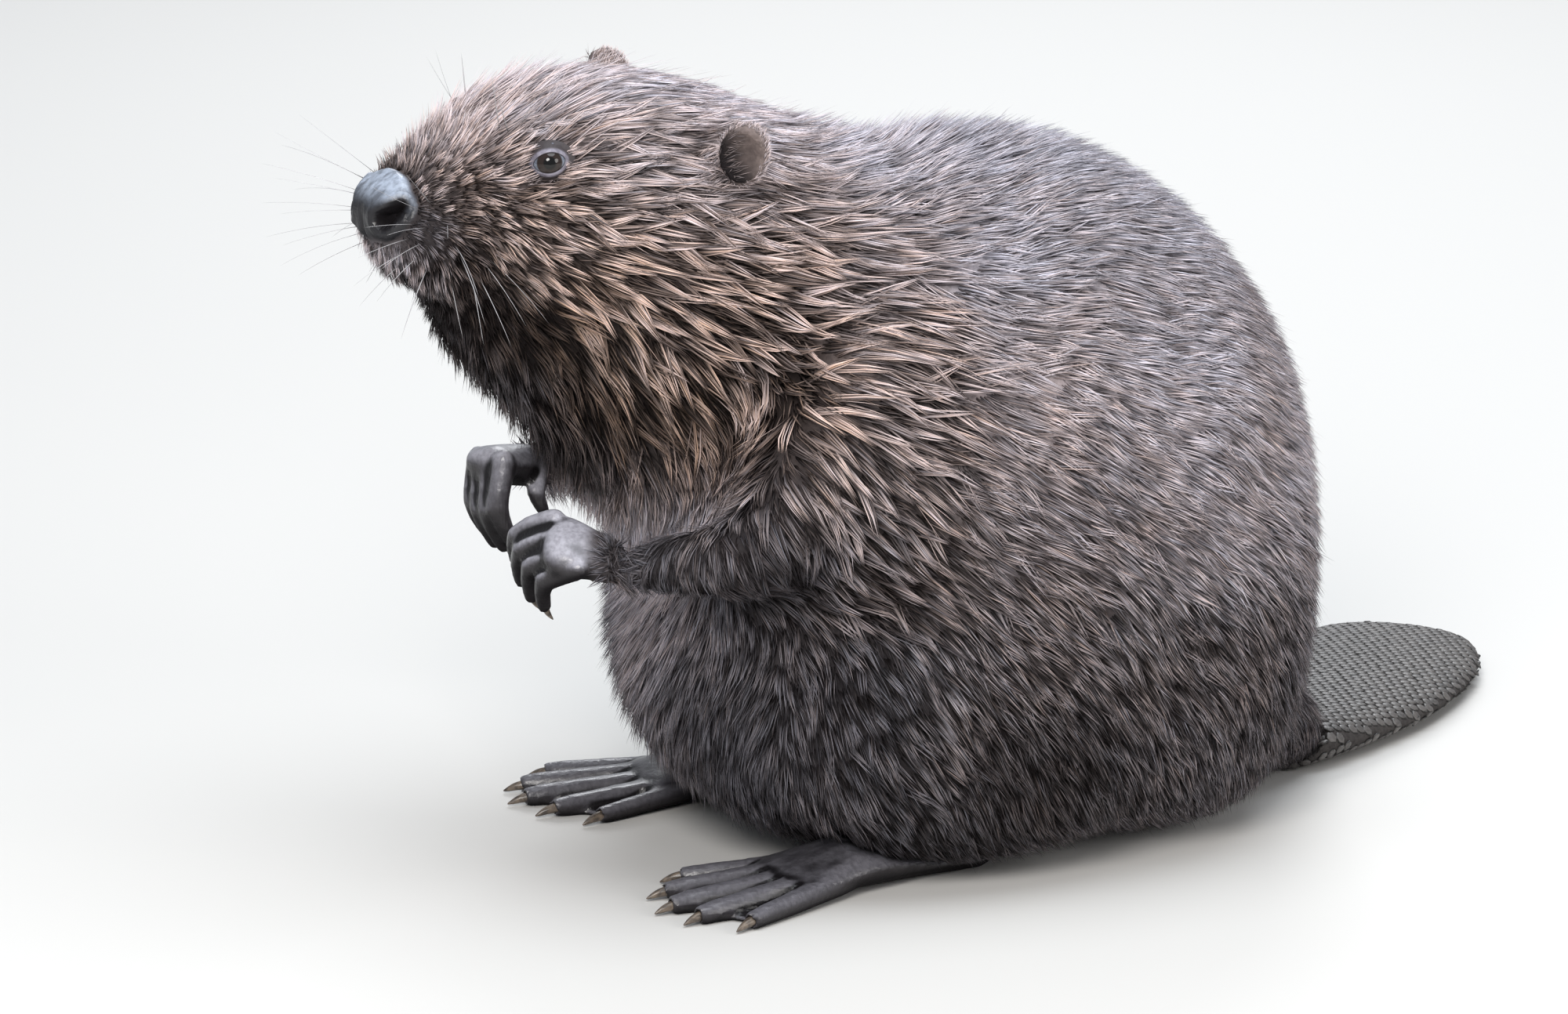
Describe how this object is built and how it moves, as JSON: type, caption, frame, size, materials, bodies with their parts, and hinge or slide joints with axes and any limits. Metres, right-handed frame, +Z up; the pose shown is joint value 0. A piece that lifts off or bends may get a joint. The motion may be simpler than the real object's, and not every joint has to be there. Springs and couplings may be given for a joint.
{
  "type": "beaver",
  "caption": "Life-size beaver sitting up on its haunches with both hands held before its chest and its flat scaly tail laid on the floor behind.",
  "frame": {"origin": "on the floor plane, under the middle of the body, midway between the hind feet sideways", "axes": "+Z up; the animal faces -X; its right side is +Y"},
  "size_m": [0.6268, 0.3446, 0.3665],
  "materials": {
    "fur": "wet guard hairs in pointed locks, tawny tips over dark roots",
    "bare_skin": "bare slate-black skin with fine creases, slightly wet",
    "nose_skin": "bare bluish-grey nose leather, damp sheen",
    "tail_scale": "flat paddle of small overlapping scales",
    "eye": "glossy dark eye",
    "claw": "horn claw, smooth, paler at the tip"
  },
  "bodies": {
    "root": {"nose": "nose_skin", "eye_left": "eye", "ear_left": "fur", "eye_right": "eye", "ear_right": "fur", "thigh_left": "fur", "upper_arm_left": "fur", "forearm_left": "fur", "finger_claw_left_1": "claw", "finger_claw_left_2": "claw", "finger_claw_left_3": "claw", "finger_claw_left_4": "claw", "finger_claw_left_5": "claw", "hand_left": "bare_skin", "toe_claw_left_1": "claw", "toe_claw_left_2": "claw", "toe_claw_left_3": "claw", "toe_claw_left_4": "claw", "toe_claw_left_5": "claw", "foot_left": "bare_skin", "thigh_right": "fur", "upper_arm_right": "fur", "forearm_right": "fur", "finger_claw_right_1": "claw", "finger_claw_right_2": "claw", "finger_claw_right_3": "claw", "finger_claw_right_4": "claw", "finger_claw_right_5": "claw", "hand_right": "bare_skin", "toe_claw_right_1": "claw", "toe_claw_right_2": "claw", "toe_claw_right_3": "claw", "toe_claw_right_4": "claw", "toe_claw_right_5": "claw", "foot_right": "bare_skin", "head": "fur", "neck": "fur", "trunk": "fur", "tail_root": "fur", "tail": "tail_scale"}
  },
  "joints": []
}
